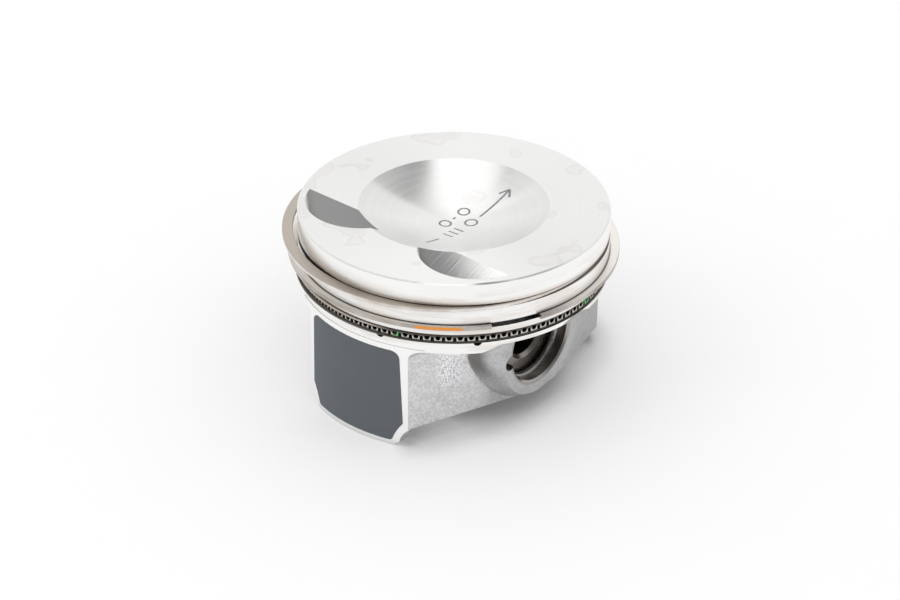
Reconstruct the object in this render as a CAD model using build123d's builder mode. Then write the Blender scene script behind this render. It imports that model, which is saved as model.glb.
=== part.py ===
from build123d import *
import os
from math import cos, hypot, pi, radians, sin, tan

# Piston of a two-litre four-cylinder petrol engine, with everything that hangs on it:
# the casting and its coated skirts, two compression rings, the three-piece oil ring,
# the wrist pin and its two wire circlips. Millimetres throughout.
#
# Frame: the origin is where the piston's axis crosses the pin's axis. +Z runs up the
# piston's axis to the crown, +Y runs along the pin, and +X points to the thrust side,
# which is also the side of the two valve pockets.

# ---- Overall ----
BORE_DIAMETER = 82.5        # cylinder the piston runs in
CROWN_Z = 29.6              # compression height, pin axis to crown
SKIRT_BOTTOM_Z = -20.4      # lowest face, which the piston stands on
TOP_LAND_R = 40.85
BELT_R = 41.0               # the lands below the top groove
SKIRT_R = 41.1              # bare skirt, just under the bore's radius
RIM_CHAMFER = 0.35

# ---- Ring belt ----
RING_HEIGHT = 1.2
COMPRESSION_GROOVE_HEIGHT = 1.26
TOP_GROOVE_Z = 23.45        # upper flank of each groove
SECOND_GROOVE_Z = 18.0
OIL_GROOVE_Z = 14.95
OIL_GROOVE_HEIGHT = 2.5
GROOVE_FLOOR_R = 37.2
BELT_STEP_Z = 10.0          # the turned belt ends here and the skirt's radius begins
BELT_BOTTOM_Z = 9.4         # underside of the belt beside the skirts
PIN_SIDE_BELT_Z = 11.3      # underside of the belt over the pin bores
RAMP_BOTTOM_X = 26.3        # the underside ramps up between these distances from the pin
RAMP_TOP_X = 22.3

# ---- Box of skirts and pin-side walls under the crown ----
WALL_THICKNESS = 3.6
SKIRT_THICKNESS = 3.5
WALL_BOTTOM_Z = -14.8
BOSS_FACE_Y = 30.0
NEAR_WALL_START = (1.7, BOSS_FACE_Y)     # where the walls leave the boss face
NEAR_WALL_SLOPE = 0.372
FAR_WALL_START = (-6.0, BOSS_FACE_Y)
FAR_WALL_SLOPE = 0.239
WALL_END_X = 50.0           # the wall lines run past the skirt's circle
SKIRT_EDGE_Y = {1: 14.5, -1: 20.1}       # half widths of the two skirts' lower ends
SKIRT_RELIEF_WIDTH = 2.6    # concave relief from the walls' lower edge down the skirt's side
SKIRT_RELIEF_MID = (0.8, -16.7)
SKIRT_RELIEF_Z = -19.0
SKIRT_CORNER_CUT = 1.9
CAVITY_CEILING_Z = 17.4
BELT_INNER_R = 33.2
POCKET_CEILING_Z = 15.4     # cast hollow behind the belt, outside the walls
COVE_R = 3.0                # blend between the walls and the belt's underside
COVE_START_X = 24.0

# ---- Pin bosses ----
BOSS_INNER_Y = 12.0
BOSS_R = 15.2
BOSS_ROOT_R = 20.35
BOSS_ROOT_Y = 21.5
BOSS_ROOT_FLARE = 21.0      # the flanks lean outward by this much where they leave the wall
BOSS_BOTTOM_Z = -15.2
BOSS_TOP_Z = 20.6
PIN_R = 11.5
PIN_CLEARANCE = 0.02
PIN_LENGTH = 50.0
PIN_HOLE_R = 6.3
PIN_EDGE = 0.6
PIN_HOLE_EDGE = 0.9
BORE_MOUTH_CHAMFER = 0.5

# ---- Circlips ----
WIRE_R = 0.85
CIRCLIP_GROOVE_R = 12.35
CIRCLIP_GROOVE_WIDTH = 1.76
CIRCLIP_Y = 26.2
CIRCLIP_GAP_DEG = 48.0
NOTCH_R = 2.0
NOTCH_CENTRE = (12.5, -1.2)

# ---- Crown ----
DISH_R = 25.0
DISH_DEPTH = 6.0
POCKET_EDGE_X = 18.9        # straight edge where a valve pocket's floor leaves the crown
POCKET_TILT = 20.0
POCKET_R = 15.6
POCKET_CENTRE_Y = 19.3
POCKET_REACH = 9.7          # from the straight edge to the far wall, along the floor

# ---- Oil drains, drilled on the lower flank of the oil groove ----
DRAIN_R = 1.1
DRAIN_Z = 12.75
DRAIN_START_R = 24.0
DRAIN_ANGLES = (13.5, 48.6, 131.4, 193.5, 228.6, 311.4)

# ---- Rings, in the sprung-open state of a piston on the bench ----
# name: centre, outer radius, radial width, gap angle, direction of the gap
TOP_RING = ((0.89, -2.28), 42.7, 2.8, 12.5, 241.0)
SECOND_RING = ((-1.40, -1.23), 43.8, 3.2, 17.5, 61.4)
RAIL_CENTRE = (0.37, -0.60)
RAIL_R = 41.2
RAIL_WIDTH = 2.2
RAIL_HEIGHT = 0.45
RAIL_GAP_DEG = 3.0
UPPER_RAIL_GAP_AT = 200.0
LOWER_RAIL_GAP_AT = 285.0
RAIL_EDGE = 0.15
RING_EDGE = 0.18
STACK_CLEARANCE = 0.02      # between the oil ring's pieces, and to the flanks
EXPANDER_CENTRE = (0.20, -0.32)
EXPANDER_R = 40.8
EXPANDER_WIDTH = 1.7
EXPANDER_STRIP = 0.28
EXPANDER_LOOP = 1.85        # outer width of one hanging loop of the strip
EXPANDER_WAVES = 92

# ---- Skirt coating ----
COATING_R = 41.2
COATING_TOP_Z = 8.4
COATING_BOTTOM_Z = -18.9
COATING_CUT_Z = -13.2       # the lower corners are cut off in a hollow curve from here down
COATING_CUT_WIDTH = 2.9
COATING_CUT_SAG = 0.3
COATING_TOP_R = 2.4
COATING_CUT_R = 1.0
# per side: half width at the top, and where the lower corners are cut off
COATING_WIDTHS = {1: (14.6, 15.45), -1: (21.4, 21.8)}


def radial_plane(centre, angle):
    """Upright plane through a vertical axis: local x runs outward at angle, y runs up."""
    outward = (cos(radians(angle)), sin(radians(angle)), 0)
    sideways = (sin(radians(angle)), -cos(radians(angle)), 0)
    return Plane(origin=(*centre, 0), x_dir=outward, z_dir=sideways)


def tangent_plane(centre, angle):
    """Upright plane through a vertical axis, facing outward at angle."""
    outward = (cos(radians(angle)), sin(radians(angle)), 0)
    sideways = (-sin(radians(angle)), cos(radians(angle)), 0)
    return Plane(origin=(*centre, 0), x_dir=sideways, z_dir=outward)


def wall_points(inset):
    """Corners of one pin-side wall line, from the thrust side round to the other side."""
    near_y = BOSS_FACE_Y - NEAR_WALL_SLOPE * (WALL_END_X - NEAR_WALL_START[0])
    far_y = BOSS_FACE_Y - FAR_WALL_SLOPE * (WALL_END_X + FAR_WALL_START[0])
    points = [(WALL_END_X, near_y), NEAR_WALL_START, FAR_WALL_START, (-WALL_END_X, far_y)]
    return [(x, y - inset) for x, y in points]


def wall_strip(inset, mode):
    """Plan of everything between the two pin-side walls, in the sketch in progress."""
    upper = wall_points(inset)
    lower = [(x, -y) for x, y in reversed(upper)]
    Polygon(*upper, *lower, align=None, mode=mode)


def box_plan(radius, inset):
    """The skirt's circle cut by the two walls, in the sketch in progress."""
    Circle(radius)
    wall_strip(inset, Mode.INTERSECT)


def boss_outline(radius, flare):
    """Side view of a pin boss: round below, with straight flanks up into the crown."""
    lean = radians(flare)
    foot_x = radius * cos(lean)
    foot_z = -radius * sin(lean)
    top_x = foot_x + (BOSS_TOP_Z - foot_z) * tan(lean)
    Circle(radius)
    Polygon((foot_x, foot_z), (top_x, BOSS_TOP_Z), (-top_x, BOSS_TOP_Z), (-foot_x, foot_z),
            align=None)


def wall_cove(start, slope, toward):
    """Concave blend along one wall under the belt, as a separate solid."""
    corner_x = toward * COVE_START_X
    corner_y = start[1] - slope * abs(corner_x - start[0])
    along = (toward, -slope, 0)
    outward = (toward * slope, 1, 0)
    with BuildPart(mode=Mode.PRIVATE) as cove:
        plane = Plane(origin=(corner_x, corner_y, BELT_BOTTOM_Z), x_dir=outward, z_dir=along)
        up = 1 if plane.y_dir.Z > 0 else -1
        with BuildSketch(plane) as section:
            with Locations(((COVE_R - 0.5) / 2, up * (0.5 - COVE_R) / 2)):
                Rectangle(COVE_R + 0.5, COVE_R + 0.5)
            with Locations((COVE_R, -up * COVE_R)):
                Circle(COVE_R, mode=Mode.SUBTRACT)
        extrude(section.sketch, amount=SKIRT_R)
        with BuildSketch(Plane.XY) as bore_circle:
            Circle(SKIRT_R)
        extrude(bore_circle.sketch, amount=CROWN_Z, mode=Mode.INTERSECT)
    return cove.part


def split_ring(centre, outer_r, width, bottom_z, height, gap_deg, gap_at, edge):
    """A ring with one gap, revolved about its own axis in the part in progress."""
    with BuildSketch(radial_plane(centre, gap_at + gap_deg / 2)) as section:
        with Locations((outer_r - width / 2, bottom_z + height / 2)):
            RectangleRounded(width, height, edge)
    axis = Axis((*centre, 0), (0, 0, 1))
    revolve(section.sketch, axis=axis, revolution_arc=360 - gap_deg)


def save(builder, name):
    """Label a finished piece and write it to its own STEP file."""
    builder.part.label = name
    export_step(builder.part, f"parts/{name}.step")


os.makedirs("parts", exist_ok=True)

# ---- Piston body: one aluminium casting ----
with BuildPart() as piston_body:
    # ring belt and crown, turned from one blank
    with BuildSketch(Plane.XZ):
        with BuildLine():
            Polyline(
                (0, BELT_BOTTOM_Z),
                (BELT_R, BELT_BOTTOM_Z),
                (BELT_R, TOP_GROOVE_Z - COMPRESSION_GROOVE_HEIGHT),
                (TOP_LAND_R, TOP_GROOVE_Z),
                (TOP_LAND_R, CROWN_Z - RIM_CHAMFER),
                (TOP_LAND_R - RIM_CHAMFER, CROWN_Z),
                (0, CROWN_Z),
                close=True,
            )
        make_face()
    revolve(axis=Axis.Z)

    # the belt's underside steps up over the pin bores
    with BuildSketch(Plane.XZ):
        with BuildLine():
            Polyline(
                (-RAMP_BOTTOM_X, BELT_BOTTOM_Z),
                (RAMP_BOTTOM_X, BELT_BOTTOM_Z),
                (RAMP_TOP_X, PIN_SIDE_BELT_Z),
                (-RAMP_TOP_X, PIN_SIDE_BELT_Z),
                close=True,
            )
        make_face()
    extrude(amount=BORE_DIAMETER, both=True, mode=Mode.SUBTRACT)

    # three ring grooves
    groove_heights = {
        TOP_GROOVE_Z: COMPRESSION_GROOVE_HEIGHT,
        SECOND_GROOVE_Z: COMPRESSION_GROOVE_HEIGHT,
        OIL_GROOVE_Z: OIL_GROOVE_HEIGHT,
    }
    for groove_z, groove_height in groove_heights.items():
        with BuildSketch(Plane.XY.offset(groove_z)):
            Circle(SKIRT_R)
            Circle(GROOVE_FLOOR_R, mode=Mode.SUBTRACT)
        extrude(amount=-groove_height, mode=Mode.SUBTRACT)

    # cast hollow behind the belt, outside the pin-side walls
    with BuildSketch(Plane.XY.offset(BELT_BOTTOM_Z)):
        Circle(BELT_INNER_R)
        wall_strip(0, Mode.SUBTRACT)
    extrude(amount=POCKET_CEILING_Z - BELT_BOTTOM_Z, mode=Mode.SUBTRACT)

    # box of two skirts and two walls, let into the belt above it
    with BuildSketch(Plane.XY.offset(SKIRT_BOTTOM_Z)):
        box_plan(SKIRT_R, 0)
    extrude(amount=BELT_STEP_Z - SKIRT_BOTTOM_Z)
    with BuildSketch(Plane.XY.offset(BELT_STEP_Z)):
        box_plan(BELT_INNER_R + 1, 0)
    extrude(amount=POCKET_CEILING_Z - BELT_STEP_Z)

    # hollow inside: the box, then the dome behind the belt
    with BuildSketch(Plane.XY.offset(SKIRT_BOTTOM_Z)):
        box_plan(SKIRT_R - SKIRT_THICKNESS, WALL_THICKNESS)
    extrude(amount=BELT_BOTTOM_Z - SKIRT_BOTTOM_Z, mode=Mode.SUBTRACT)
    with BuildSketch(Plane.XY.offset(BELT_BOTTOM_Z)):
        box_plan(BELT_INNER_R, WALL_THICKNESS)
    extrude(amount=CAVITY_CEILING_Z - BELT_BOTTOM_Z, mode=Mode.SUBTRACT)

    # only the skirts reach the bottom
    with BuildSketch(Plane.XY.offset(SKIRT_BOTTOM_Z)):
        Circle(SKIRT_R - SKIRT_THICKNESS)
    extrude(amount=WALL_BOTTOM_Z - SKIRT_BOTTOM_Z, mode=Mode.SUBTRACT)

    # relieved and rounded lower corners of both skirts
    for toward, edge_y in SKIRT_EDGE_Y.items():
        for side in (1, -1):
            wall_corner = (side * (edge_y + SKIRT_RELIEF_WIDTH), WALL_BOTTOM_Z)
            skirt_side = (side * edge_y, SKIRT_RELIEF_Z)
            foot_y = side * (edge_y - SKIRT_CORNER_CUT)
            with BuildSketch(Plane.YZ):
                with BuildLine():
                    ThreePointArc(
                        wall_corner,
                        (side * (edge_y + SKIRT_RELIEF_MID[0]), SKIRT_RELIEF_MID[1]),
                        skirt_side,
                    )
                    Polyline(
                        skirt_side,
                        (foot_y, SKIRT_BOTTOM_Z),
                        (foot_y, SKIRT_BOTTOM_Z - 1),
                        (side * BORE_DIAMETER, SKIRT_BOTTOM_Z - 1),
                        (side * BORE_DIAMETER, WALL_BOTTOM_Z),
                        wall_corner,
                    )
                make_face()
            extrude(amount=toward * BORE_DIAMETER, mode=Mode.SUBTRACT)

    # coves under the belt, along each wall
    for start, slope, toward in ((NEAR_WALL_START, NEAR_WALL_SLOPE, 1),
                                 (FAR_WALL_START, FAR_WALL_SLOPE, -1)):
        cove_solid = wall_cove(start, slope, toward)
        add(cove_solid)
        mirror(cove_solid, about=Plane.XZ)

    # pin bosses, flared where they leave the walls, and flat underneath
    for side in (1, -1):
        with BuildSketch(Plane.XZ.offset(-side * BOSS_INNER_Y)):
            boss_outline(BOSS_R, 0)
        extrude(amount=-side * (BOSS_FACE_Y - BOSS_INNER_Y))
        with BuildSketch(Plane.XZ.offset(-side * BOSS_ROOT_Y)):
            boss_outline(BOSS_ROOT_R, BOSS_ROOT_FLARE)
        with BuildSketch(Plane.XZ.offset(-side * BOSS_FACE_Y)):
            boss_outline(BOSS_R, 0)
        loft()
    with BuildSketch(Plane.XY.offset(SKIRT_BOTTOM_Z)):
        Rectangle(2 * RAMP_TOP_X, BORE_DIAMETER)
    extrude(amount=BOSS_BOTTOM_Z - SKIRT_BOTTOM_Z, mode=Mode.SUBTRACT)

    # pin bore, with its chamfered mouths, circlip grooves and removal notches
    bore_r = PIN_R + PIN_CLEARANCE
    with BuildSketch(Plane.XZ):
        Circle(bore_r)
    extrude(amount=BORE_DIAMETER, both=True, mode=Mode.SUBTRACT)
    for side in (1, -1):
        with BuildSketch(Plane.XY):
            Polygon((0, side * (BOSS_FACE_Y - BORE_MOUTH_CHAMFER)),
                    (bore_r, side * (BOSS_FACE_Y - BORE_MOUTH_CHAMFER)),
                    (bore_r + BORE_MOUTH_CHAMFER, side * BOSS_FACE_Y),
                    (bore_r + BORE_MOUTH_CHAMFER, side * (BOSS_FACE_Y + 1)),
                    (0, side * (BOSS_FACE_Y + 1)),
                    align=None)
        revolve(axis=Axis.Y, mode=Mode.SUBTRACT)
        groove_start = CIRCLIP_Y - CIRCLIP_GROOVE_WIDTH / 2
        with BuildSketch(Plane.XZ.offset(-side * groove_start)):
            Circle(CIRCLIP_GROOVE_R)
        extrude(amount=-side * CIRCLIP_GROOVE_WIDTH, mode=Mode.SUBTRACT)
        with BuildSketch(Plane.XZ.offset(-side * groove_start)):
            with Locations(NOTCH_CENTRE):
                Circle(NOTCH_R)
        extrude(amount=-side * (BOSS_FACE_Y - groove_start + 1), mode=Mode.SUBTRACT)

    # oil drains through the belt
    for angle in DRAIN_ANGLES:
        outward = (cos(radians(angle)), sin(radians(angle)), 0)
        start = (DRAIN_START_R * outward[0], DRAIN_START_R * outward[1], DRAIN_Z)
        with BuildSketch(Plane(origin=start, z_dir=outward)):
            Circle(DRAIN_R)
        extrude(amount=BELT_R - DRAIN_START_R + 1, mode=Mode.SUBTRACT)

    # combustion dish, then the two valve pockets with their sloping floors
    dish_sphere_r = (DISH_R**2 + DISH_DEPTH**2) / (2 * DISH_DEPTH)
    with Locations((0, 0, CROWN_Z - DISH_DEPTH + dish_sphere_r)):
        Sphere(dish_sphere_r, mode=Mode.SUBTRACT)
    slope = radians(POCKET_TILT)
    pocket_plane = Plane(
        origin=(POCKET_EDGE_X, 0, CROWN_Z),
        x_dir=(cos(slope), 0, -sin(slope)),
        z_dir=(sin(slope), 0, cos(slope)),
    )
    with BuildSketch(pocket_plane):
        with Locations((POCKET_REACH - POCKET_R, POCKET_CENTRE_Y),
                       (POCKET_REACH - POCKET_R, -POCKET_CENTRE_Y)):
            Circle(POCKET_R)
    extrude(amount=POCKET_R, mode=Mode.SUBTRACT)
save(piston_body, "piston_body")

# ---- Anti-friction coating on each skirt ----
for coating_name, toward in (("thrust_skirt_coating", 1), ("rear_skirt_coating", -1)):
    top_y, cut_y = COATING_WIDTHS[toward]
    foot_y = cut_y - COATING_CUT_WIDTH
    cut_height = COATING_CUT_Z - COATING_BOTTOM_Z
    sag = COATING_CUT_SAG / hypot(COATING_CUT_WIDTH, cut_height)
    mid_y = (cut_y + foot_y) / 2 - sag * cut_height
    mid_z = (COATING_CUT_Z + COATING_BOTTOM_Z) / 2 + sag * COATING_CUT_WIDTH
    with BuildPart() as coating:
        with BuildSketch(Plane.XY.offset(COATING_BOTTOM_Z)):
            Circle(COATING_R)
            Circle(SKIRT_R, mode=Mode.SUBTRACT)
        extrude(amount=COATING_TOP_Z - COATING_BOTTOM_Z)
        with BuildSketch(Plane.YZ) as coating_outline:
            with BuildLine():
                Line((-top_y, COATING_TOP_Z), (top_y, COATING_TOP_Z))
                Line((top_y, COATING_TOP_Z), (cut_y, COATING_CUT_Z))
                ThreePointArc((cut_y, COATING_CUT_Z), (mid_y, mid_z), (foot_y, COATING_BOTTOM_Z))
                Line((foot_y, COATING_BOTTOM_Z), (-foot_y, COATING_BOTTOM_Z))
                ThreePointArc((-foot_y, COATING_BOTTOM_Z), (-mid_y, mid_z), (-cut_y, COATING_CUT_Z))
                Line((-cut_y, COATING_CUT_Z), (-top_y, COATING_TOP_Z))
            make_face()
            fillet(coating_outline.vertices().filter_by(lambda v: v.Y > 0), COATING_TOP_R)
            fillet(coating_outline.vertices().filter_by(lambda v: v.Y < COATING_CUT_Z + 0.5),
                   COATING_CUT_R)
        extrude(amount=toward * BORE_DIAMETER, mode=Mode.INTERSECT)
    save(coating, coating_name)

# ---- Compression rings ----
ring_lift = (COMPRESSION_GROOVE_HEIGHT - RING_HEIGHT) / 2
for ring_name, ring, groove_z in (
    ("top_ring", TOP_RING, TOP_GROOVE_Z),
    ("second_ring", SECOND_RING, SECOND_GROOVE_Z),
):
    ring_centre, ring_r, ring_width, gap_deg, gap_at = ring
    ring_z = groove_z - COMPRESSION_GROOVE_HEIGHT + ring_lift
    with BuildPart() as compression_ring:
        split_ring(ring_centre, ring_r, ring_width, ring_z, RING_HEIGHT, gap_deg, gap_at, RING_EDGE)
    save(compression_ring, ring_name)

# ---- Oil ring: two thin rails with a corrugated expander between them ----
lower_rail_z = OIL_GROOVE_Z - OIL_GROOVE_HEIGHT + STACK_CLEARANCE
upper_rail_z = OIL_GROOVE_Z - RAIL_HEIGHT - STACK_CLEARANCE
for rail_name, rail_z, gap_at in (
    ("oil_rail_lower", lower_rail_z, LOWER_RAIL_GAP_AT),
    ("oil_rail_upper", upper_rail_z, UPPER_RAIL_GAP_AT),
):
    with BuildPart() as rail:
        split_ring(RAIL_CENTRE, RAIL_R, RAIL_WIDTH, rail_z, RAIL_HEIGHT,
                   RAIL_GAP_DEG, gap_at, RAIL_EDGE)
    save(rail, rail_name)

expander_z = lower_rail_z + RAIL_HEIGHT + STACK_CLEARANCE
expander_height = upper_rail_z - STACK_CLEARANCE - expander_z
wave_length = 2 * pi * (EXPANDER_R - EXPANDER_WIDTH / 2) / EXPANDER_WAVES
upper_slot = EXPANDER_LOOP - 2 * EXPANDER_STRIP
lower_slot = wave_length - EXPANDER_LOOP
slot_depth = expander_height - EXPANDER_STRIP
with BuildPart() as oil_expander:
    with BuildSketch(Plane.XY.offset(expander_z)):
        with Locations(EXPANDER_CENTRE):
            Circle(EXPANDER_R)
            Circle(EXPANDER_R - EXPANDER_WIDTH, mode=Mode.SUBTRACT)
    extrude(amount=expander_height)
    # slots from above and from below by turns leave one strip that waves up and down
    for wave in range(EXPANDER_WAVES):
        for half, mouth_z, into, slot_width in (
            (0, expander_z + expander_height, -1, upper_slot),
            (0.5, expander_z, 1, lower_slot),
        ):
            angle = 360 * (wave + half) / EXPANDER_WAVES
            round_z = mouth_z + into * (slot_depth - slot_width / 2)
            with BuildSketch(tangent_plane(EXPANDER_CENTRE, angle)):
                with Locations((0, round_z)):
                    Circle(slot_width / 2)
                with Locations((0, (round_z + mouth_z) / 2)):
                    Rectangle(slot_width, abs(round_z - mouth_z))
            extrude(amount=EXPANDER_R + 1, mode=Mode.SUBTRACT)
save(oil_expander, "oil_expander")

# ---- Wrist pin: a hollow hardened shaft floating in the bosses ----
with BuildPart() as wrist_pin:
    with BuildSketch(Plane.XZ):
        Circle(PIN_R)
        Circle(PIN_HOLE_R, mode=Mode.SUBTRACT)
    extrude(amount=PIN_LENGTH / 2, both=True)
    rims = wrist_pin.edges().filter_by(GeomType.CIRCLE)
    chamfer(rims.filter_by(lambda e: e.radius > PIN_R - 0.01), PIN_EDGE)
    rims = wrist_pin.edges().filter_by(GeomType.CIRCLE)
    chamfer(rims.filter_by(lambda e: e.radius < PIN_HOLE_R + 0.01), PIN_HOLE_EDGE)
save(wrist_pin, "wrist_pin")

# ---- Wire circlips, each with its gap at the top ----
wire_centre_r = CIRCLIP_GROOVE_R - WIRE_R - 0.03
gap_start = radians(90 - CIRCLIP_GAP_DEG / 2)
for circlip_name, side in (("circlip_front", 1), ("circlip_rear", -1)):
    wire_plane = Plane(
        origin=(0, side * CIRCLIP_Y, 0),
        x_dir=(cos(gap_start), 0, sin(gap_start)),
        z_dir=(-sin(gap_start), 0, cos(gap_start)),
    )
    with BuildPart() as circlip:
        with BuildSketch(wire_plane):
            with Locations((wire_centre_r, 0)):
                Circle(WIRE_R)
        revolve(axis=Axis.Y, revolution_arc=360 - CIRCLIP_GAP_DEG)
    save(circlip, circlip_name)
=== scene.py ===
import bpy
from math import hypot, pi
from mathutils import Matrix, Vector


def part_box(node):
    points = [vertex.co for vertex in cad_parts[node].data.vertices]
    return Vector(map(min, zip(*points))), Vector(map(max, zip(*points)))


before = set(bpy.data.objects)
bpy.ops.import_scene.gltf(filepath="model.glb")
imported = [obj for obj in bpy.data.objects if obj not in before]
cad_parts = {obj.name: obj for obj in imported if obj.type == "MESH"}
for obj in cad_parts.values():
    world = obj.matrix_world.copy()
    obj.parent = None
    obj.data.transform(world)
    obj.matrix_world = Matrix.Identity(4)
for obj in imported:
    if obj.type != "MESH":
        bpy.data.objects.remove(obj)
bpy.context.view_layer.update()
MM = 0.001

# ------------------------------------------------------------------ frame facts
RIGHT_LEVEL = Vector((-0.643, 0.766, 0.0))      # level direction to the right of the view
AWAY = Vector((-0.766, -0.643, 0.0))            # level direction away from the camera
body_lo, body_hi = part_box("piston_body")
CROWN_Z = body_hi.z / MM
second_lo, second_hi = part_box("second_ring")
EXPANDER_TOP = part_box("oil_expander")[1].z / MM
RING_TOPS = [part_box(name)[1].z / MM for name in ("top_ring", "second_ring", "oil_rail_upper")]


# ------------------------------------------------------------------ node helpers
class Mat:
    """A material being wired: short calls for the nodes that the materials share.

    Lengths are in metres, except where a name ends in _mm.
    """

    def __init__(self, name):
        self.mat = bpy.data.materials.new(name)
        self.mat.use_nodes = True
        self.nodes = self.mat.node_tree.nodes
        self.links = self.mat.node_tree.links
        self.nodes.clear()
        out = self.nodes.new("ShaderNodeOutputMaterial")
        self.shader = self.nodes.new("ShaderNodeBsdfPrincipled")
        self.links.new(self.shader.outputs["BSDF"], out.inputs["Surface"])
        coord = self.nodes.new("ShaderNodeTexCoord")
        self.pos = coord.outputs["Object"]
        self.normal = coord.outputs["Normal"]
        self.x, self.y, self.z = self.split(self.pos)
        self.nx, self.ny, self.nz = self.split(self.normal)

    def put(self, socket, value):
        if isinstance(value, bpy.types.NodeSocket):
            self.links.new(value, socket)
        elif isinstance(value, (tuple, list)) and len(value) == 3 and socket.type == "RGBA":
            socket.default_value = (*value, 1)
        else:
            socket.default_value = value

    def split(self, vector):
        node = self.nodes.new("ShaderNodeSeparateXYZ")
        self.links.new(vector, node.inputs[0])
        return node.outputs

    def math(self, op, *values):
        node = self.nodes.new("ShaderNodeMath")
        node.operation = op
        for socket, value in zip(node.inputs, values):
            self.put(socket, value)
        return node.outputs[0]

    def add(self, a, b):
        return self.math("ADD", a, b)

    def sub(self, a, b):
        return self.math("SUBTRACT", a, b)

    def mul(self, first, *others):
        for other in others:
            first = self.math("MULTIPLY", first, other)
        return first

    def most(self, first, *others):
        for other in others:
            first = self.math("MAXIMUM", first, other)
        return first

    def size(self, value):
        return self.math("ABSOLUTE", value)

    def length(self, a, b):
        return self.math("SQRT", self.add(self.mul(a, a), self.mul(b, b)))

    def step(self, value, low, high):
        """0 on low's side and 1 on high's, smooth between; low may be above high."""
        node = self.nodes.new("ShaderNodeMapRange")
        node.interpolation_type = "SMOOTHSTEP"
        self.put(node.inputs["Value"], value)
        node.inputs["From Min"].default_value = min(low, high)
        node.inputs["From Max"].default_value = max(low, high)
        node.inputs["To Min"].default_value = 0.0 if low < high else 1.0
        node.inputs["To Max"].default_value = 1.0 if low < high else 0.0
        return node.outputs["Result"]

    def step_mm(self, value, low, high):
        return self.step(value, low * MM, high * MM)

    def between(self, value, low, high, soft):
        """1 where value lies between low and high, fading out over soft."""
        return self.mul(self.step(value, low - soft, low + soft),
                        self.step(value, high + soft, high - soft))

    def between_mm(self, value, low, high, soft):
        return self.between(value, low * MM, high * MM, soft * MM)

    def spread(self, value, low, high):
        """Maps 0..1 to low..high."""
        node = self.nodes.new("ShaderNodeMapRange")
        self.put(node.inputs["Value"], value)
        node.inputs["To Min"].default_value = low
        node.inputs["To Max"].default_value = high
        return node.outputs["Result"]

    def mixed(self, kind, factor, a, b):
        node = self.nodes.new("ShaderNodeMix")
        node.data_type = kind
        self.put(node.inputs["Factor"], factor)
        self.put(node.inputs["A"], a)
        self.put(node.inputs["B"], b)
        return node.outputs["Result"]

    def mix(self, factor, a, b):
        """Colour a, or b where factor is 1."""
        return self.mixed("RGBA", factor, a, b)

    def blend(self, factor, a, b):
        """Number a, or b where factor is 1."""
        return self.mixed("FLOAT", factor, a, b)

    def vector(self, x, y, z):
        node = self.nodes.new("ShaderNodeCombineXYZ")
        for socket, value in zip(node.inputs, (x, y, z)):
            self.put(socket, value)
        return node.outputs[0]

    def noise(self, vector, scale, detail=2.0, rough=0.5):
        node = self.nodes.new("ShaderNodeTexNoise")
        self.put(node.inputs["Vector"], vector)
        node.inputs["Scale"].default_value = scale
        node.inputs["Detail"].default_value = detail
        node.inputs["Roughness"].default_value = rough
        return node.outputs["Fac"]

    def spots(self, scale, outside, inside):
        """Round spots, one to a cell: 0 beyond outside and 1 within inside."""
        node = self.nodes.new("ShaderNodeTexVoronoi")
        self.put(node.inputs["Vector"], self.pos)
        node.inputs["Scale"].default_value = scale
        return self.step(node.outputs["Distance"], outside, inside)

    def radius(self, cx=0.0, cy=0.0):
        """Distance from an upright axis at cx, cy."""
        return self.length(self.sub(self.x, cx), self.sub(self.y, cy))

    def turn(self):
        """Direction round the piston's axis, in degrees from +X towards +Y."""
        return self.math("DEGREES", self.math("ARCTAN2", self.y, self.x))

    def crevice(self, reach_mm):
        """1 in the open, falling towards 0 in gaps and corners narrower than the reach."""
        node = self.nodes.new("ShaderNodeAmbientOcclusion")
        node.samples = 8
        node.inputs["Distance"].default_value = reach_mm * MM
        return node.outputs["AO"]

    def bump(self, height, depth_mm):
        node = self.nodes.new("ShaderNodeBump")
        node.inputs["Strength"].default_value = 1.0
        node.inputs["Distance"].default_value = depth_mm * MM
        self.put(node.inputs["Height"], height)
        self.links.new(node.outputs[0], self.shader.inputs["Normal"])

    def turned_tangent(self, sideways=None):
        """Across the tool marks of a part turned about Z; along Y where sideways is 1."""
        cross = self.nodes.new("ShaderNodeVectorMath")
        cross.operation = "CROSS_PRODUCT"
        self.put(cross.inputs[0], self.vector(self.mul(self.y, -1), self.x, 0.0))
        self.put(cross.inputs[1], self.normal)
        across_marks = cross.outputs[0]
        if sideways is not None:
            node = self.nodes.new("ShaderNodeMix")
            node.data_type = "VECTOR"
            self.put(node.inputs["Factor"], sideways)
            self.links.new(across_marks, node.inputs[4])
            node.inputs[5].default_value = (0.0, 1.0, 0.0)
            across_marks = node.outputs[1]
        self.links.new(across_marks, self.shader.inputs["Tangent"])

    def set(self, **values):
        for name, value in values.items():
            self.put(self.shader.inputs[name.replace("_", " ")], value)


def give(made, *nodes):
    """Puts a material on CAD nodes in place of the plain one."""
    for node in nodes:
        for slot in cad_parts[node].material_slots:
            slot.material = made.mat


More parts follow.
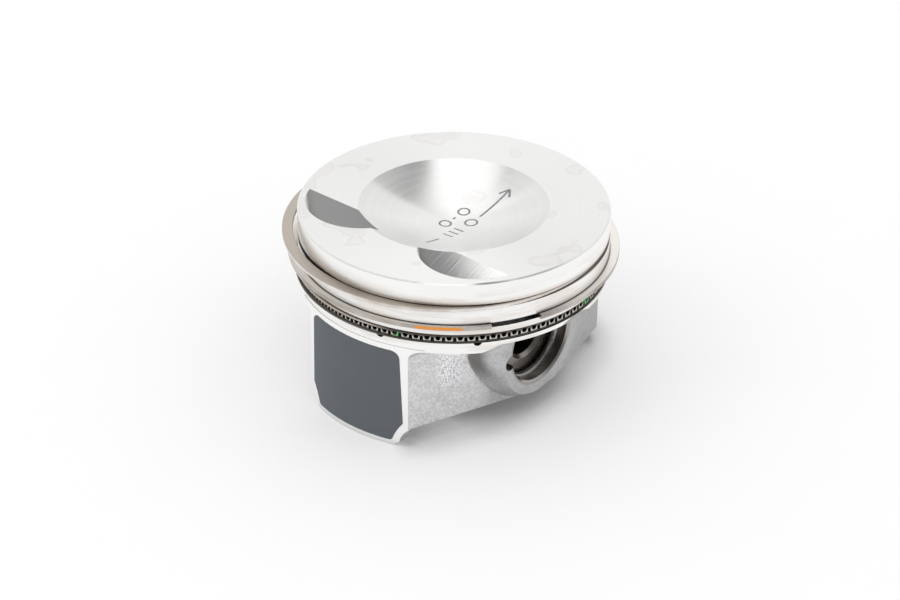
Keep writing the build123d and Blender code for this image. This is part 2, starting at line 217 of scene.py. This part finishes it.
# ------------------------------------------------------------------ colours
GROOVE_SHADE = (0.05, 0.042, 0.035)
CREVICE_SHADE = (0.10, 0.09, 0.08)
SHADED_BOSS_CAST = (0.34, 0.34, 0.34)
SHADED_FAR_CAST = (0.30, 0.30, 0.30)
FLANK_SHADE = (0.17, 0.16, 0.15)
STAIN = (0.72, 0.64, 0.60)
STREAK_REFLECTION = (0.74, 0.64, 0.56)
RING_REFLECTION_TAN = (0.70, 0.61, 0.53)
BORE_SHADE = (0.20, 0.175, 0.155)
NOTCH_SHADE = (0.09, 0.085, 0.08)
ETCHED = (0.10, 0.10, 0.10)
RING_TOP_LIGHT = (0.95, 0.91, 0.86)
RING_TAN = (0.34, 0.28, 0.225)
RAIL_SHADE = (0.020, 0.016, 0.013)
EXPANDER_SHADE = (0.05, 0.042, 0.036)
ORANGE_PAINT = (0.74, 0.27, 0.035)
GREEN_PAINT = (0.10, 0.45, 0.12)

# ------------------------------------------------------------------ places on the casting, mm
SKIRT_FACE_R = (40.98, 41.04)
CROWN_FACE_Z = (CROWN_Z - 7.0, CROWN_Z - 6.5)
BELT_Z = (9.3, 9.45)
BELT_R = (36.6, 36.8)
BORE_R = (12.6, 12.5)
DISH_R = (25.2, 24.8)
POCKET_X = (15.0, 15.5)
POCKET_NORMAL_X = (0.325, 0.36, 0.01)       # of the unit normal, with the softness of its ends
LAND_R = (40.4, 40.6)
LANDS_Z = (9.5, 10.5)
LANDS_TOP_Z = (28.0, 25.0)
OVER_RING_Z = (23.5, 24.3, 0.4)
OVER_RING_R = (40.5, 40.7)
GROOVE_SHADE_R = (40.0, 40.2)
GROOVE_SHADE_BELOW, GROOVE_SHADE_ABOVE, GROOVE_SHADE_SOFT = 0.10, 0.17, 0.04
NOTCH_X, NOTCH_Z = 12.5, -1.2
NOTCH_R = (2.15, 1.95)
BOSS_WALL_X = (21.0, 12.0)
FAR_WALL_X = (-8.0, -26.0)
GLITTER_X = (23.0, 29.5, 2.5)
GLITTER_Z = (-5.0, 7.0, 3.5)
CREASE_Z = (-7.0, 4.0)                      # the crease round the boss is wider higher up:
CREASE_R = (19.0, 21.6)                     # its radius about the pin at these two heights
FLANK_OUTER = (0.3, -0.3)                   # the painted shade band's ends, measured out from the crease
FLANK_INNER = (-4.2, -1.8)
FLANK_Z = (-10.0, -1.0)
FLANK_X = (8.0, 14.0)
DISH_MARK_SOFT = 0.05

# ------------------------------------------------------------------ aluminium casting
m = Mat("cast_and_turned_aluminium")
r = m.radius()
bore_r = m.length(m.x, m.z)
crown_face = m.step_mm(m.z, *CROWN_FACE_Z)
skirt_face = m.step_mm(r, *SKIRT_FACE_R)
belt = m.mul(m.step_mm(m.z, *BELT_Z), m.step_mm(r, *BELT_R))
bore = m.step_mm(bore_r, *BORE_R)
machined = m.most(crown_face, skirt_face, belt, bore)
pocket_floor = m.mul(m.between(m.nx, *POCKET_NORMAL_X), m.step_mm(m.x, *POCKET_X))

# tool marks: uneven rings about the axis
marks_at = m.vector(r, m.z, 0.0)
fine_marks = m.noise(marks_at, 2600.0, 3.0, 0.7)
wide_marks = m.noise(marks_at, 900.0, 3.0, 0.6)
marks = m.add(m.mul(fine_marks, 0.6), m.mul(wide_marks, 0.4))
# the pockets are milled along their slope, and the pin bores turned about their own axis
along_pin = m.vector(0.0, m.y, 0.0)
milled = m.noise(along_pin, 2600.0, 3.0, 0.65)
marks = m.blend(pocket_floor, marks, milled)
marks = m.blend(bore, marks, m.noise(along_pin, 4200.0, 2.0, 0.6))

# as-cast skin: grain with shallow pits
grain = m.noise(m.pos, 1500.0, 4.0, 0.62)
lumps = m.noise(m.pos, 420.0, 3.0, 0.55)
pits = m.spots(1100.0, 0.22, 0.08)
skin = m.sub(m.add(m.mul(grain, 0.75), m.mul(lumps, 0.35)), m.mul(pits, 0.16))

# turned faces, brightest on the lands, with faint handling stains on the flat crown
cloud = m.noise(m.pos, 62.0, 2.5, 0.5)
stain_edge = m.between(cloud, 0.60, 0.612, 0.012)
stain_fill = m.step(cloud, 0.56, 0.68)
flat_crown = m.step(m.nz, 0.93, 0.97)
stains = m.mul(m.add(m.mul(stain_edge, 0.32), m.mul(stain_fill, 0.22)), crown_face, flat_crown)
upright = m.step(m.size(m.nz), 0.6, 0.3)
land = m.mul(m.step_mm(r, *LAND_R), upright)
turned_colour = m.mix(marks, (0.80, 0.805, 0.795), (0.95, 0.95, 0.94))
turned_colour = m.mix(land, turned_colour, m.mix(marks, (0.93, 0.93, 0.92), (0.98, 0.98, 0.97)))
turned_colour = m.mix(stains, turned_colour, STAIN)

# cast faces, with painted shade darkening them on the boss and on the rear half of the wall
cast_colour = m.mix(m.step(skin, 0.35, 0.75), (0.56, 0.56, 0.57), (0.80, 0.80, 0.81))
cast_colour = m.mix(m.mul(m.step_mm(m.x, *BOSS_WALL_X), 0.4), cast_colour, SHADED_BOSS_CAST)
cast_colour = m.mix(m.mul(m.step_mm(m.x, *FAR_WALL_X), 0.45), cast_colour, SHADED_FAR_CAST)
# painted highlights make the skin glitter where the wall runs up to the boss, and painted shade makes it
# dark just inside the crease
glint_speckle = m.step(m.noise(m.pos, 2600.0, 3.0, 0.7), 0.38, 0.56)
near_boss = m.mul(m.between_mm(m.x, *GLITTER_X), m.between_mm(m.z, *GLITTER_Z))
painted_glints = m.mix(glint_speckle, (0.38, 0.39, 0.43), (1.0, 1.0, 1.0))
cast_colour = m.mix(m.mul(near_boss, 0.95), cast_colour, painted_glints)
crease_r = m.spread(m.step_mm(m.z, *CREASE_Z), CREASE_R[0] * MM, CREASE_R[1] * MM)
past_crease = m.sub(bore_r, crease_r)
flank_shade = m.mul(m.step_mm(past_crease, *FLANK_OUTER), m.step_mm(past_crease, *FLANK_INNER),
              m.step_mm(m.z, *FLANK_Z), m.step_mm(m.x, *FLANK_X))
cast_colour = m.mix(m.mul(flank_shade, 0.9), cast_colour, FLANK_SHADE)

# painted reflections: brown streaks round the lands, and a tan edge above the top ring that stands for
# the ring's top face mirrored in the land
colour = m.mix(machined, cast_colour, turned_colour)
streaks_at = m.vector(m.mul(m.x, 0.12), m.mul(m.y, 0.12), m.z)
reflection_streaks = m.step(m.noise(streaks_at, 420.0, 3.0, 0.6), 0.42, 0.62)
streaked_lands = m.mul(land, m.step_mm(m.z, *LANDS_Z), m.step_mm(m.z, *LANDS_TOP_Z), reflection_streaks)
ring_reflection = m.mul(m.between_mm(m.z, *OVER_RING_Z), m.step_mm(r, *OVER_RING_R))
colour = m.mix(m.mul(streaked_lands, 0.45), colour, STREAK_REFLECTION)
colour = m.mix(m.mul(ring_reflection, 0.55), colour, RING_REFLECTION_TAN)
# painted shade: gaps and corners are darkened where the ambient occlusion falls
colour = m.mix(m.spread(m.crevice(2.4), 0.62, 0.0), colour, CREVICE_SHADE)
# painted shade: a dark line in the corner above each ring, where the gap over the ring lies in shadow
for top in RING_TOPS:
    groove_line = m.mul(m.between_mm(m.z, top - GROOVE_SHADE_BELOW, top + GROOVE_SHADE_ABOVE, GROOVE_SHADE_SOFT), m.step_mm(r, *GROOVE_SHADE_R))
    colour = m.mix(m.mul(groove_line, 0.88), colour, GROOVE_SHADE)
# painted shade in the pin bore and in the notch for taking out its circlip
notch_r = m.length(m.sub(m.x, NOTCH_X * MM), m.sub(m.z, NOTCH_Z * MM))
colour = m.mix(m.mul(bore, 0.72), colour, BORE_SHADE)
colour = m.mix(m.mul(m.step_mm(notch_r, *NOTCH_R), 0.85), colour, NOTCH_SHADE)


def stroke(distance, wide):
    """Mask of a line of that width round the places where distance is 0."""
    return m.step_mm(m.size(distance), wide / 2 + DISH_MARK_SOFT, wide / 2 - DISH_MARK_SOFT)


def dash(x0, y0, x1, y1, wide):
    """Mask of a straight stroke between two points of the crown, in millimetres."""
    length = hypot(x1 - x0, y1 - y0)
    ux, uy = (x1 - x0) / length, (y1 - y0) / length
    dx, dy = m.sub(m.x, x0 * MM), m.sub(m.y, y0 * MM)
    along = m.add(m.mul(dx, ux), m.mul(dy, uy))
    beside = m.sub(m.mul(dx, -uy), m.mul(dy, -ux))
    return m.mul(m.between_mm(along, 0.0, length, DISH_MARK_SOFT), stroke(beside, wide))


def ring_mark(x0, y0, radius, wide):
    """Mask of a thin circle on the crown, in millimetres."""
    return stroke(m.sub(m.radius(x0 * MM, y0 * MM), radius * MM), wide)


# generic marks etched in the dish: an arrow, rings and bars
etched = m.most(
    dash(-19.0, 3.4, -6.5, 3.4, 0.55),
    dash(-19.0, 3.4, -16.6, 1.6, 0.55),
    dash(-19.0, 3.4, -16.6, 5.2, 0.55),
    ring_mark(-3.0, 3.4, 1.6, 0.5),
    dash(2.0, 1.8, 2.0, 5.0, 0.5),
    dash(4.2, 1.8, 4.2, 5.0, 0.5),
    dash(6.4, 1.8, 6.4, 5.0, 0.5),
    dash(10.0, 3.4, 15.2, 3.4, 0.5),
    ring_mark(-6.0, -1.6, 1.5, 0.5),
    dash(-2.6, -1.6, -1.6, -1.6, 0.6),
    ring_mark(1.6, -1.6, 1.5, 0.5),
)
dish = m.mul(m.step_mm(r, *DISH_R), crown_face)
etched = m.mul(etched, dish, m.spread(m.noise(m.pos, 2400.0, 2.0), 0.45, 1.0))
colour = m.mix(etched, colour, ETCHED)

rough = m.blend(machined, m.spread(skin, 0.42, 0.24), m.spread(marks, 0.17, 0.29))
rough = m.blend(pocket_floor, rough, m.spread(milled, 0.02, 0.05))
rough = m.add(rough, m.mul(etched, 0.3))
m.set(Base_Color=colour, Roughness=rough, Metallic=1.0, Anisotropic=0.9)
m.turned_tangent(pocket_floor)
height = m.blend(machined, skin, m.mul(marks, m.spread(pocket_floor, 0.05, 0.02)))
m.bump(m.sub(height, m.mul(etched, 0.3)), 0.30)
give(m, "piston_body")

# ------------------------------------------------------------------ skirt coating
m = Mat("graphite_resin_coating")
mesh_print = m.noise(m.pos, 5200.0, 2.0, 0.6)
blotch = m.noise(m.pos, 90.0, 3.0, 0.55)
speck = m.spots(620.0, 0.12, 0.05)
shade = m.add(m.mul(mesh_print, 0.25), m.mul(blotch, 0.75))
coat = m.mix(shade, (0.076, 0.085, 0.098), (0.100, 0.110, 0.124))
coat = m.mix(m.mul(speck, 0.35), coat, (0.15, 0.155, 0.165))
m.set(Base_Color=coat, Roughness=m.spread(shade, 0.50, 0.62), Metallic=0.0, Specular_IOR_Level=0.42)
m.bump(m.add(mesh_print, m.mul(speck, -0.6)), 0.012)
give(m, "thrust_skirt_coating", "rear_skirt_coating")


# ------------------------------------------------------------------ rings
def ring_steel(name, dark, light, rough_low, rough_high):
    """Ground steel of a ring: fine lines round it, tints that drift along it, painted light on its flat
    top faces and painted shade in its crevices.
    """
    made = Mat(name)
    lines = made.noise(made.vector(made.radius(), made.z, 0.0), 4200.0, 2.0, 0.7)
    drift = made.noise(made.pos, 75.0, 3.0, 0.6)
    tint = made.add(made.mul(lines, 0.35), made.mul(drift, 0.65))
    base = made.mix(made.step(tint, 0.30, 0.70), dark, light)
    # painted light on the flat top faces, and painted shade in the crevices
    lit_top = made.mul(made.step(made.nz, 0.6, 0.9), 0.9)
    base = made.mix(lit_top, base, RING_TOP_LIGHT)
    crevice_shade = made.step(made.crevice(0.8), 0.86, 0.55)
    base = made.mix(made.mul(crevice_shade, 0.92), base, (0.05, 0.045, 0.04))
    made.set(Roughness=made.spread(lines, rough_low, rough_high), Metallic=1.0, Anisotropic=0.5)
    made.turned_tangent()
    made.bump(lines, 0.004)
    return made, base


# the top ring's outer face is tan along its upper edge
TOP_EDGE_Z = (RING_TOPS[0] - 0.60, RING_TOPS[0] - 0.15)
m, base = ring_steel("nitrided_top_ring", (0.52, 0.47, 0.42), (0.90, 0.87, 0.84), 0.20, 0.34)
m.set(Base_Color=m.mix(m.mul(m.step_mm(m.z, *TOP_EDGE_Z), 0.7), base, RING_TAN))
give(m, "top_ring")

# the second ring has an orange assembly stripe on its outer face
STRIPE_TURN = (27.0, 43.5, 0.5)
STRIPE_Z = (second_lo.z / MM + 0.12, second_hi.z / MM - 0.12, 0.05)
STRIPE_R = (40.6, 40.8)
m, base = ring_steel("phosphated_second_ring", (0.30, 0.26, 0.225), (0.60, 0.57, 0.53), 0.22, 0.38)
stripe = m.mul(m.between(m.turn(), *STRIPE_TURN), m.between_mm(m.z, *STRIPE_Z),
               m.step_mm(m.radius(), *STRIPE_R), m.step(m.noise(m.pos, 700.0, 3.0), 0.28, 0.36))
m.set(Base_Color=m.mix(stripe, base, ORANGE_PAINT), Metallic=m.sub(1.0, stripe))
give(m, "second_ring")

# the rails are brownish steel darkened nearly to black by painted shade, but for a bright stretch of the
# upper one
BRIGHT_TURN = (-60.0, 12.0, 8.0)
for rail, brightness in (("oil_rail_upper", 1.0), ("oil_rail_lower", 0.08)):
    m, base = ring_steel("oil_rail_steel", (0.40, 0.34, 0.28), (0.66, 0.58, 0.50), 0.18, 0.32)
    bright = m.mul(m.between(m.turn(), *BRIGHT_TURN), brightness)
    rail_shade = m.mul(m.sub(1.0, bright), 0.93)
    m.set(Base_Color=m.mix(rail_shade, base, RAIL_SHADE), Metallic=m.sub(1.0, rail_shade), Specular_IOR_Level=0.25)
    give(m, rail)

# the expander is shaded inside and along its top, and has two dots of green paint
EXPANDER_AXIS = (0.20, -0.32)
EXPANDER_FACE_R = (40.35, 40.75)
EXPANDER_TOP_Z = (EXPANDER_TOP - 0.75, EXPANDER_TOP - 0.35)
GREEN_TURNS = ((18.5, 21.5, 0.6), (95.0, 99.0, 0.6))
m = Mat("expander_strip")
wear = m.noise(m.pos, 900.0, 3.0, 0.6)
strip = m.mix(wear, (0.46, 0.43, 0.39), (0.68, 0.65, 0.60))
green = m.most(*(m.between(m.turn(), *place) for place in GREEN_TURNS))
expander_r = m.radius(EXPANDER_AXIS[0] * MM, EXPANDER_AXIS[1] * MM)
strip = m.mix(m.step_mm(expander_r, *EXPANDER_FACE_R), EXPANDER_SHADE, strip)
strip = m.mix(m.mul(m.step_mm(m.z, *EXPANDER_TOP_Z), 0.8), strip, EXPANDER_SHADE)
strip = m.mix(m.mul(green, 0.8), strip, GREEN_PAINT)
m.set(Base_Color=strip, Roughness=m.spread(wear, 0.24, 0.40), Metallic=m.sub(1.0, m.mul(green, 0.7)))
m.bump(wear, 0.02)
give(m, "oil_expander")

# ------------------------------------------------------------------ pin and circlips
m = Mat("ground_pin_steel")
ground = m.noise(m.vector(0.0, m.y, 0.0), 3800.0, 2.0, 0.7)
bluing = m.noise(m.pos, 110.0, 3.0, 0.6)
steel = m.mix(m.add(m.mul(ground, 0.3), m.mul(bluing, 0.7)), (0.20, 0.18, 0.16), (0.36, 0.335, 0.31))
m.set(Base_Color=steel, Roughness=m.spread(ground, 0.16, 0.30), Metallic=1.0)
m.bump(ground, 0.004)
give(m, "wrist_pin")

m = Mat("drawn_spring_wire")
drawn = m.noise(m.pos, 1600.0, 3.0, 0.6)
wire = m.mix(drawn, (0.22, 0.21, 0.20), (0.40, 0.385, 0.37))
m.set(Base_Color=wire, Roughness=m.spread(drawn, 0.20, 0.36), Metallic=1.0)
m.bump(drawn, 0.01)
give(m, "circlip_front", "circlip_rear")

# ------------------------------------------------------------------ floor
FLOOR_SIZE = 6.0
SHADE_SIDE = (-17.0, -9.0)                  # how far to the right the shade begins, mm
bpy.ops.mesh.primitive_plane_add(size=FLOOR_SIZE, location=(0, 0, body_lo.z))
floor = bpy.context.object
floor.name = "floor"
m = Mat("pale_floor")
paper = m.noise(m.pos, 40.0, 3.0, 0.5)
pale = m.mix(paper, (0.655, 0.655, 0.655), (0.670, 0.670, 0.670))
# the shade held under the pin-boss wall, on the side away from the key light
rightward = m.add(m.mul(m.x, RIGHT_LEVEL.x), m.mul(m.y, RIGHT_LEVEL.y))
close_by = m.mul(m.step(m.crevice(14.0), 0.92, 0.45), m.step_mm(rightward, *SHADE_SIDE))
m.set(Base_Color=m.mix(m.mul(close_by, 0.45), pale, (0.0, 0.0, 0.0)), Roughness=0.85,
      Specular_IOR_Level=0.2, Emission_Color=(1.0, 1.0, 1.0),
      Emission_Strength=m.spread(close_by, 0.31, 0.08))
floor.data.materials.append(m.mat)

# ------------------------------------------------------------------ camera
RIGHT = Vector((-0.64614, 0.76333, 0.00669))
UP = Vector((-0.39699, -0.3435, 0.85115))
BACK = Vector((0.652, 0.54731, 0.52488))
EYE = Vector((385.303, 322.307, 309.776)) * MM
FILM_WIDTH = 36.0
FOCAL_LENGTH = 88.226
camera = bpy.data.objects.new("camera", bpy.data.cameras.new("camera"))
camera.matrix_world = Matrix.Translation(EYE) @ Matrix((RIGHT, UP, BACK)).transposed().to_4x4()
camera.data.sensor_width = FILM_WIDTH
camera.data.lens = FOCAL_LENGTH
camera.data.clip_start = 0.02
camera.data.clip_end = 20.0
bpy.context.scene.collection.objects.link(camera)
bpy.context.scene.camera = camera

# ------------------------------------------------------------------ light
KEY_SIZE = 0.9
KEY_RADIANCE = 1.0
# the key is a square soft box up on the left, in metres from the pin axis, facing the piston
key_at = RIGHT_LEVEL * -1.2 + AWAY * -0.5 + Vector((0, 0, 1.1))
light = bpy.data.lights.new("key", "AREA")
light.shape = "SQUARE"
light.size = KEY_SIZE
light.energy = KEY_RADIANCE * pi * KEY_SIZE ** 2
key = bpy.data.objects.new("key", light)
key.location = key_at
key.rotation_mode = "QUATERNION"
key.rotation_quaternion = key_at.to_track_quat("Z", "Y")
key.visible_glossy = False
bpy.context.scene.collection.objects.link(key)


class Studio(Mat):
    """The room as a mirror sees it, by direction, and an even white dome for matt surfaces."""

    def __init__(self, name):
        self.world = bpy.data.worlds.new(name)
        self.world.use_nodes = True
        self.nodes = self.world.node_tree.nodes
        self.links = self.world.node_tree.links
        self.background = self.nodes["Background"]
        self.way = self.nodes.new("ShaderNodeTexCoord").outputs["Generated"]

    def along(self, direction):
        node = self.nodes.new("ShaderNodeVectorMath")
        node.operation = "DOT_PRODUCT"
        self.put(node.inputs[0], self.way)
        node.inputs[1].default_value = direction
        return node.outputs["Value"]


w = Studio("studio")
# across is a direction's part to the right; azimuth (0 behind the piston) and elevation are degrees
across, behind, above = w.along(RIGHT_LEVEL), w.along(AWAY), w.along((0, 0, 1))
azimuth = w.math("DEGREES", w.math("ARCTAN2", across, behind))
elevation = w.math("DEGREES", w.math("ARCSINE", above))
off_axis = w.size(azimuth)

# the backdrop is brightest straight behind the piston
backdrop = w.mul(w.step(elevation, 46.0, 40.0), w.step(off_axis, 125.0, 80.0))
dimmer = w.most(w.step(off_axis, 10.0, 26.0), w.step(elevation, 26.0, 12.0))
backdrop = w.mul(backdrop, w.spread(dimmer, 0.98, 0.86))
# the overhead panel has a sharp left edge, which lies further left near the zenith
overhead_edge = w.most(w.step(across, -0.3032, -0.3008),
                       w.mul(w.step(across, -0.375, -0.355), w.step(elevation, 57.0, 61.0)))
overhead = w.mul(overhead_edge, w.step(across, 0.196, 0.184), w.step(elevation, 34.0, 38.0), 1.22)
# the gap between it and the left panel is what the valve pockets mirror
gap_level = w.add(w.spread(w.step(across, -0.345, -0.325), 0.34, 0.26),
                  w.mul(w.step(across, -0.318, -0.301), 0.08))
gap = w.mul(w.step(across, -0.43, -0.41), w.step(across, -0.3008, -0.3032), gap_level)
left_panel = w.mul(w.between(across, -0.85, -0.375, 0.008), w.step(elevation, 62.0, 56.0), 0.88)
right_wall = w.mul(w.step(across, 0.16, 0.50), w.step(elevation, 40.0, 44.0), 0.68)
right_panel = w.mul(w.between(azimuth, 50.0, 80.0, 3.0), w.step(elevation, 56.0, 46.0), 0.70)
floor_glow = w.mul(w.step(elevation, 1.0, -1.0), 0.95)
DIMMEST = 0.20
DOME = 1.0
glow = w.most(overhead, backdrop, left_panel, right_panel, floor_glow, right_wall, gap, DIMMEST)
mirrored = w.nodes.new("ShaderNodeLightPath").outputs["Is Glossy Ray"]
w.put(w.background.inputs["Strength"], w.blend(mirrored, DOME, glow))
w.background.inputs["Color"].default_value = (1.0, 1.0, 1.0, 1.0)
bpy.context.scene.world = w.world
bpy.context.scene.view_settings.view_transform = "Standard"
